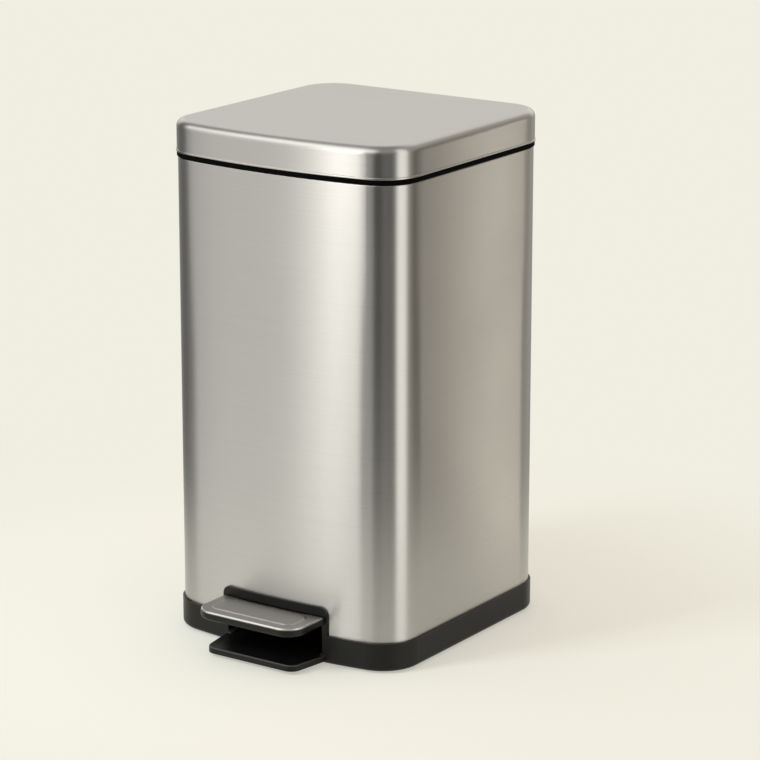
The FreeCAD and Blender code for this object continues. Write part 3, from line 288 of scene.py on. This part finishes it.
def tinted(tree, factor, dark, light):
    """Colour between two colours by a factor."""
    mix = add_node(tree, "ShaderNodeMix", data_type="RGBA")
    tree.links.new(factor, mix.inputs["Factor"])
    mix.inputs["A"].default_value = dark
    mix.inputs["B"].default_value = light
    return mix.outputs["Result"]


def lightest(tree, first, second):
    """Lighter of two colours, part by part."""
    mix = add_node(tree, "ShaderNodeMix", data_type="RGBA", blend_type="LIGHTEN")
    mix.inputs["Factor"].default_value = 1.0
    tree.links.new(first, mix.inputs["A"])
    tree.links.new(second, mix.inputs["B"])
    return mix.outputs["Result"]


def mix_levels(tree, factor, first, second):
    """Number between a socket's value and a constant."""
    mix = add_node(tree, "ShaderNodeMix", data_type="FLOAT")
    tree.links.new(factor, mix.inputs["Factor"])
    tree.links.new(first, mix.inputs["A"])
    mix.inputs["B"].default_value = second
    return mix.outputs["Result"]


def mix_shaders(tree, factor, first, second):
    mix = add_node(tree, "ShaderNodeMixShader")
    tree.links.new(factor, mix.inputs["Fac"])
    tree.links.new(first, mix.inputs[1])
    tree.links.new(second, mix.inputs[2])
    return mix.outputs[0]


def scaled(colour, factor):
    return tuple(factor * part for part in colour[:3]) + (1,)


def shaded(tree, factor, colour, shades):
    """Colour between its darkest and its lightest shade by a factor."""
    dark, light = shades
    return tinted(tree, factor, scaled(colour, dark), scaled(colour, light))


# Surfaces: places, directions, edges and bumps


def new_material(name, **settings):
    """Material with a Principled shader whose sockets have the given constants."""
    material = bpy.data.materials.new(name)
    material.use_nodes = True
    tree = material.node_tree
    shader = tree.nodes["Principled BSDF"]
    for socket, value in settings.items():
        shader.inputs[socket.replace("_", " ")].default_value = value
    return material, tree, shader


def object_place(tree):
    """Place of a surface point in the bin's own frame, in metres."""
    return add_node(tree, "ShaderNodeTexCoord").outputs["Object"]


def face_direction(tree):
    """Parts of the direction that a face points in."""
    return split(tree, add_node(tree, "ShaderNodeNewGeometry").outputs["True Normal"])


def edge_normal(tree, radius):
    """Normal that turns smoothly over the edges, as if they were rounded."""
    bevel = add_node(tree, "ShaderNodeBevel", samples=6)
    bevel.inputs["Radius"].default_value = radius
    return bevel.outputs["Normal"]


def painted_highlight_mask(tree, normal):
    """1 where a rounded normal faces up at a slant, as on upper edges, and 0 on level and upright faces; it
    marks where a highlight is painted.
    """
    upward = split(tree, normal)["Z"]
    above = spread(tree, upward, *EDGE_ABOVE_WALL)
    below = spread(tree, upward, *EDGE_BELOW_TOP)
    return product(tree, above, below)


def add_bump(tree, shader, height, strength, distance, normal):
    bump = add_node(tree, "ShaderNodeBump")
    tree.links.new(normal, bump.inputs["Normal"])
    bump.inputs["Strength"].default_value = strength
    bump.inputs["Distance"].default_value = distance
    tree.links.new(height, bump.inputs["Height"])
    tree.links.new(bump.outputs["Normal"], shader.inputs["Normal"])


# Brushed steel: the grain runs level round the walls and from side to side on level faces


def corner_turn(tree, place, height, start, slope, corner_slope):
    """Turn of a wall by its distance from where its corner starts; the slope tells the corner's facets."""
    away = size_of(tree, math_node(tree, "SUBTRACT", size_of(tree, place), start))
    near = spread(tree, away, EASE_REACH, 0.0)
    in_corner = math_node(tree, "GREATER_THAN", size_of(tree, slope), corner_slope)
    ease = spread(tree, height, EASE_HIGH, EASE_LOW, EASE_SHARE * EASE_TURN, EASE_TURN, smooth=True)
    turn = math_node(tree, "SUBTRACT", ease, product(tree, in_corner, FACET_TURN))
    return product(tree, turn, near, near, math_node(tree, "SIGN", place))


def eased_normal(tree, normal):
    """Normal of a sheet whose walls start to turn a little before their corners, more so low down."""
    place = split(tree, object_place(tree))
    facing = face_direction(tree)
    wall = spread(tree, size_of(tree, facing["Z"]), *WALL_RANGE)
    ends = spread(tree, size_of(tree, facing["Y"]), *FACING_RANGE)
    sides = spread(tree, size_of(tree, facing["X"]), *FACING_RANGE)
    start = spread(tree, facing["Y"], *REAR_RANGE, FRONT_START, BACK_START)
    slope = spread(tree, facing["Y"], *REAR_RANGE, FRONT_SLOPE, FLAT_SLOPE)
    across = corner_turn(tree, place["X"], place["Z"], start, facing["X"], slope)
    depth = math_node(tree, "SUBTRACT", place["Y"], SIDE_MIDDLE)
    along = corner_turn(tree, depth, place["Z"], SIDE_START, facing["Y"], FLAT_SLOPE)
    push = add_node(tree, "ShaderNodeCombineXYZ")
    tree.links.new(product(tree, across, ends, wall), push.inputs["X"])
    tree.links.new(product(tree, along, sides, wall), push.inputs["Y"])
    total = vector_node(tree, "ADD", normal, push.outputs[0])
    return vector_node(tree, "NORMALIZE", total[0])[0]


def grain_vector(tree, along, across):
    """Noise coordinates stretched along the grain, in cells per metre along and across it."""
    place = split(tree, object_place(tree))
    level = spread(tree, size_of(tree, face_direction(tree)["Z"]), *FACING_RANGE)
    wall = math_node(tree, "SUBTRACT", 1.0, level)
    step = math_node(tree, "ADD", product(tree, place["Z"], wall), product(tree, place["Y"], level))
    vector = add_node(tree, "ShaderNodeCombineXYZ")
    tree.links.new(product(tree, place["X"], along), vector.inputs["X"])
    tree.links.new(product(tree, place["Y"], wall, along), vector.inputs["Y"])
    tree.links.new(product(tree, step, across), vector.inputs["Z"])
    return vector.outputs[0]


def across_grain(tree):
    direction = add_node(tree, "ShaderNodeCombineXYZ")
    for socket, part in zip(direction.inputs, ACROSS_GRAIN):
        socket.default_value = part
    return direction.outputs[0]


def brushed_steel(name, colour, roughness, edge=None, edge_radius=STEEL_EDGE):
    """Steel with a grain; its rounded edges can get a painted highlight, a lighter colour of their own."""
    material, tree, shader = new_material(name, Metallic=1.0, Anisotropic=0.85)
    fine = noise(tree, grain_vector(tree, *FINE_GRAIN), 1.0, detail=3.0)
    broad = noise(tree, grain_vector(tree, *BROAD_GRAIN), 1.0, detail=2.0)
    cloud = noise(tree, object_place(tree), STEEL_CLOUD, detail=3.0)
    grain = math_node(tree, "ADD", product(tree, fine, FINE_SHARE), product(tree, broad, 1 - FINE_SHARE))
    finish = shaded(tree, spread(tree, grain, *NOISE_RANGE), colour, STEEL_SHADES)
    normal = edge_normal(tree, edge_radius)
    if edge:
        # Painted highlight: faces tilted away from level, as on rounded edges, get the lighter edge colour
        slant = spread(tree, split(tree, normal)["Z"], *TREAD_BELOW_TOP)
        finish = lightest(tree, finish, tinted(tree, slant, BLACK, edge))
    tree.links.new(finish, shader.inputs["Base Color"])
    coarse = spread(tree, grain, *COARSE_RANGE, *GRAIN_ROUGHNESS)
    rough = math_node(tree, "ADD", coarse, spread(tree, cloud, *NOISE_RANGE, *STEEL_ROUGHNESS))
    tree.links.new(math_node(tree, "ADD", rough, roughness), shader.inputs["Roughness"])
    tree.links.new(across_grain(tree), shader.inputs["Tangent"])
    add_bump(tree, shader, fine, strength=0.03, distance=0.0001, normal=eased_normal(tree, normal))
    return material


# Moulded plastic, rubber, painted steel and plated steel


def moulded_plastic(name, colour, roughness, grain_size, shine=0.4, edge=1.5):
    """Plastic, rubber or paint with a fine grain, whose upper edges get a painted highlight, lighter by a
    factor.
    """
    material, tree, shader = new_material(name, Specular_IOR_Level=shine)
    place = object_place(tree)
    grain = noise(tree, place, 1.0 / grain_size, detail=2.0)
    cloud = noise(tree, place, PLASTIC_CLOUD, detail=4.0)
    normal = edge_normal(tree, PLASTIC_EDGE)
    flat = shaded(tree, spread(tree, cloud, *NOISE_RANGE), colour, PLASTIC_SHADES)
    # Painted highlight: upper edges lighter by the edge factor, standing in for light from above
    painted_highlight = tinted(tree, painted_highlight_mask(tree, normal), BLACK, scaled(colour, edge))
    tree.links.new(lightest(tree, flat, painted_highlight), shader.inputs["Base Color"])
    rough = math_node(tree, "ADD", spread(tree, cloud, *NOISE_RANGE, *PLASTIC_ROUGHNESS), roughness)
    tree.links.new(rough, shader.inputs["Roughness"])
    add_bump(tree, shader, grain, strength=0.12, distance=0.00015, normal=normal)
    return material


def plated_steel(name, colour):
    """Zinc-plated steel with a cloudy finish."""
    material, tree, shader = new_material(name, Metallic=1.0)
    cloud = noise(tree, object_place(tree), ZINC_CLOUD, detail=4.0)
    finish = shaded(tree, spread(tree, cloud, *NOISE_RANGE), colour, ZINC_SHADES)
    tree.links.new(finish, shader.inputs["Base Color"])
    tree.links.new(spread(tree, cloud, *NOISE_RANGE, *ZINC_ROUGHNESS), shader.inputs["Roughness"])
    add_bump(tree, shader, cloud, strength=0.05, distance=0.0002, normal=edge_normal(tree, ZINC_EDGE))
    return material


def dress(names, material):
    for name in names:
        mesh = nodes[name].data
        mesh.materials.clear()
        mesh.materials.append(material)


def dress_steel():
    skin = brushed_steel("brushed_steel", STEEL, roughness=0.3)
    # Tread: painted highlight on its rounded edges
    tread = brushed_steel(
        "tread_steel",
        scaled(STEEL, TREAD_FACE),
        roughness=0.34,
        edge=scaled(STEEL, TREAD_HIGHLIGHT),
        edge_radius=TREAD_EDGE,
    )
    dress(STEEL_SKINS, skin)
    dress(["pedal_tread"], tread)
    dress(ZINC_PIECES, plated_steel("zinc_steel", ZINC))


def dress_mouldings():
    # Collar: its black includes painted shade from the gap under the lid
    ring = moulded_plastic("ring_plastic", RING_BLACK_AND_SHADE, roughness=0.6, grain_size=0.0008, shine=0.03)
    # Black mouldings: painted highlight on their upper edges at eleven times their colour
    black = moulded_plastic(
        "black_plastic",
        MOULDED_BLACK,
        roughness=0.36,
        grain_size=0.0009,
        shine=0.3,
        edge=11,
    )
    bucket = moulded_plastic("bucket_plastic", BUCKET_GREY, roughness=0.38, grain_size=0.0014)
    lever = moulded_plastic("black_steel", LEVER_BLACK, roughness=0.35, grain_size=0.0006)
    grey = moulded_plastic("grey_plastic", MOULDED_GREY, roughness=0.4, grain_size=0.0008)
    rubber = moulded_plastic("black_rubber", RUBBER_BLACK, roughness=0.7, grain_size=0.0007)
    dress(["collar"], ring)
    dress(BLACK_MOULDINGS, black)
    dress(["inner_bucket"], bucket)
    dress(["pedal_lever"], lever)
    dress(GREY_MOULDINGS, grey)
    dress(RUBBER_PIECES, rubber)


# Studio: camera, floor that fades into the background, surroundings and lamps


def add_camera():
    data = bpy.data.cameras.new("camera")
    data.sensor_width = SENSOR_WIDTH
    data.lens = CAMERA_LENS
    camera = bpy.data.objects.new("camera", data)
    camera.location = CAMERA_PLACE
    camera.rotation_euler = (math.radians(CAMERA_TILT), 0, math.radians(CAMERA_YAW))
    bpy.context.scene.collection.objects.link(camera)
    bpy.context.scene.camera = camera


def floor_material():
    """Matt floor that glows a little where it is seen, and fades out with the distance from the bin."""
    material, tree, shader = new_material("floor", Roughness=0.9, Specular_IOR_Level=0.0, Base_Color=FLOOR)
    place = split(tree, object_place(tree))
    flat = add_node(tree, "ShaderNodeCombineXYZ")
    tree.links.new(place["X"], flat.inputs["X"])
    tree.links.new(place["Y"], flat.inputs["Y"])
    distance = vector_node(tree, "LENGTH", flat.outputs[0])["Value"]
    path = add_node(tree, "ShaderNodeLightPath")
    mirrored = path.outputs["Is Glossy Ray"]
    seen = math_node(tree, "MAXIMUM", path.outputs["Is Camera Ray"], mirrored)
    edge = spread(tree, distance, FLOOR_FULL, FLOOR_END, smooth=True)
    faded = math_node(tree, "MAXIMUM", edge, product(tree, mirrored, MIRRORED_CLEAR))
    glow = add_node(tree, "ShaderNodeEmission")
    glow.inputs["Color"].default_value = FLOOR_GLOW
    lit = mix_shaders(tree, product(tree, seen, GLOW_SHARE), shader.outputs[0], glow.outputs[0])
    clear = add_node(tree, "ShaderNodeBsdfTransparent")
    surface = mix_shaders(tree, faded, lit, clear.outputs[0])
    tree.links.new(surface, tree.nodes["Material Output"].inputs["Surface"])
    return material


def add_floor():
    bpy.ops.mesh.primitive_circle_add(vertices=96, radius=FLOOR_END, fill_type="NGON")
    floor = bpy.context.object
    floor.name = "floor"
    floor.location.z = cad_box[0].z
    floor.data.materials.append(floor_material())


def room_level(tree, azimuth):
    """Brightness of the studio round the bin by azimuth."""
    ramp = add_node(tree, "ShaderNodeFloatCurve")
    tree.links.new(spread(tree, azimuth, -math.pi, math.pi), ramp.inputs["Value"])
    curve = ramp.mapping.curves[0]
    points = [((angle + 180) / 360, level / ROOM_TOP) for angle, level in ROOM]
    for _ in points[2:]:
        curve.points.new(0.5, 0.5)
    for point, place in zip(curve.points, points):
        point.location = place
        point.handle_type = "AUTO_CLAMPED"
    ramp.mapping.update()
    return product(tree, ramp.outputs[0], ROOM_TOP)


def studio_level(tree, direction, towards):
    """Brightness of the studio and of the sky over it, as metal sees them."""
    height = direction["Z"]
    behind = spread(tree, direction["Y"], *BEHIND, smooth=True)
    ahead = spread(tree, towards, *AHEAD, smooth=True)
    left = spread(tree, direction["X"], *LEFT, smooth=True)
    right = spread(tree, direction["X"], *RIGHT, smooth=True)
    sweep = product(tree, behind, left, spread(tree, height, *SWEEP_HEIGHT, smooth=True))
    rear = product(tree, behind, right, spread(tree, height, *REAR_HEIGHT, smooth=True))
    front = product(tree, ahead, right, spread(tree, height, *FRONT_HEIGHT, smooth=True))
    softbox = product(tree, ahead, left, spread(tree, height, *SOFTBOX_HEIGHT, smooth=True))
    overhead = spread(tree, height, *OVERHEAD_HEIGHT, smooth=True)
    level = room_level(tree, math_node(tree, "ARCTAN2", direction["X"], towards))
    level = mix_levels(tree, sweep, level, SWEEP_LEVEL)
    level = mix_levels(tree, math_node(tree, "MAXIMUM", rear, front), level, RIGHT_LEVEL)
    level = mix_levels(tree, softbox, level, SOFTBOX_LEVEL)
    return mix_levels(tree, overhead, level, SKY_LEVEL)


def add_world():
    """Studio for metal, the pale background for the camera, and an even fill for everything else."""
    world = bpy.data.worlds.new("studio")
    bpy.context.scene.world = world
    world.use_nodes = True
    tree = world.node_tree
    tree.nodes.clear()
    direction = split(tree, add_node(tree, "ShaderNodeTexCoord").outputs["Generated"])
    towards = math_node(tree, "MULTIPLY", direction["Y"], -1.0)
    path = add_node(tree, "ShaderNodeLightPath")
    seen = add_node(tree, "ShaderNodeBackground")
    tree.links.new(tinted(tree, path.outputs["Is Camera Ray"], FILL, BACKGROUND), seen.inputs["Color"])
    studio = add_node(tree, "ShaderNodeBackground")
    rear_right = math_node(tree, "MINIMUM", direction["X"], direction["Y"])
    warm = spread(tree, rear_right, *WARM_RANGE)
    tree.links.new(tinted(tree, warm, STUDIO_TINT, RIGHT_TINT), studio.inputs["Color"])
    tree.links.new(studio_level(tree, direction, towards), studio.inputs["Strength"])
    light = mix_shaders(tree, path.outputs["Is Glossy Ray"], seen.outputs[0], studio.outputs[0])
    output = add_node(tree, "ShaderNodeOutputWorld")
    tree.links.new(light, output.inputs["Surface"])


def add_lamp(name, place, aim, size, power, tint, mirrored=True, lighting=True):
    """Softbox, in metres and watts. One that isn't mirrored doesn't show in metal, and one without
    lighting only shows in it."""
    data = bpy.data.lights.new(name, "AREA")
    data.shape = "RECTANGLE"
    data.size, data.size_y = size
    data.energy = power
    data.color = tint
    lamp = bpy.data.objects.new(name, data)
    lamp.location = place
    lamp.rotation_euler = (Vector(aim) - Vector(place)).to_track_quat("-Z", "Y").to_euler()
    lamp.visible_camera = False
    lamp.visible_glossy = mirrored
    lamp.visible_diffuse = lighting
    bpy.context.scene.collection.objects.link(lamp)


def add_lamps():
    """Two softboxes that light the bin, and a strip and a card that only show in its steel."""
    middle = (0, 0, 0.3)
    front = (0, 0, 0.45)
    side = (0.16, 0.06, 0.3)
    add_lamp(
        "key",
        place=(-1.4, -2.6, 2.4),
        aim=middle,
        size=(0.9, 0.9),
        power=55,
        tint=LAMP_TINT,
        mirrored=False,
    )
    add_lamp(
        "top",
        place=(-0.2, 0.1, 2.4),
        aim=middle,
        size=(1.6, 1.6),
        power=8,
        tint=LAMP_TINT,
        mirrored=False,
    )
    add_lamp(
        "strip",
        place=(-0.63, -2.2, 0.75),
        aim=front,
        size=(0.34, 0.9),
        power=2.8,
        tint=STRIP_TINT,
        lighting=False,
    )
    add_lamp(
        "side_card",
        place=(0.69, 0.905, 0.2),
        aim=side,
        size=(0.06, 0.9),
        power=0.31,
        tint=CARD_TINT,
        lighting=False,
    )


dress_steel()
dress_mouldings()
add_camera()
add_floor()
add_world()
add_lamps()
bpy.context.scene.view_settings.view_transform = "Standard"
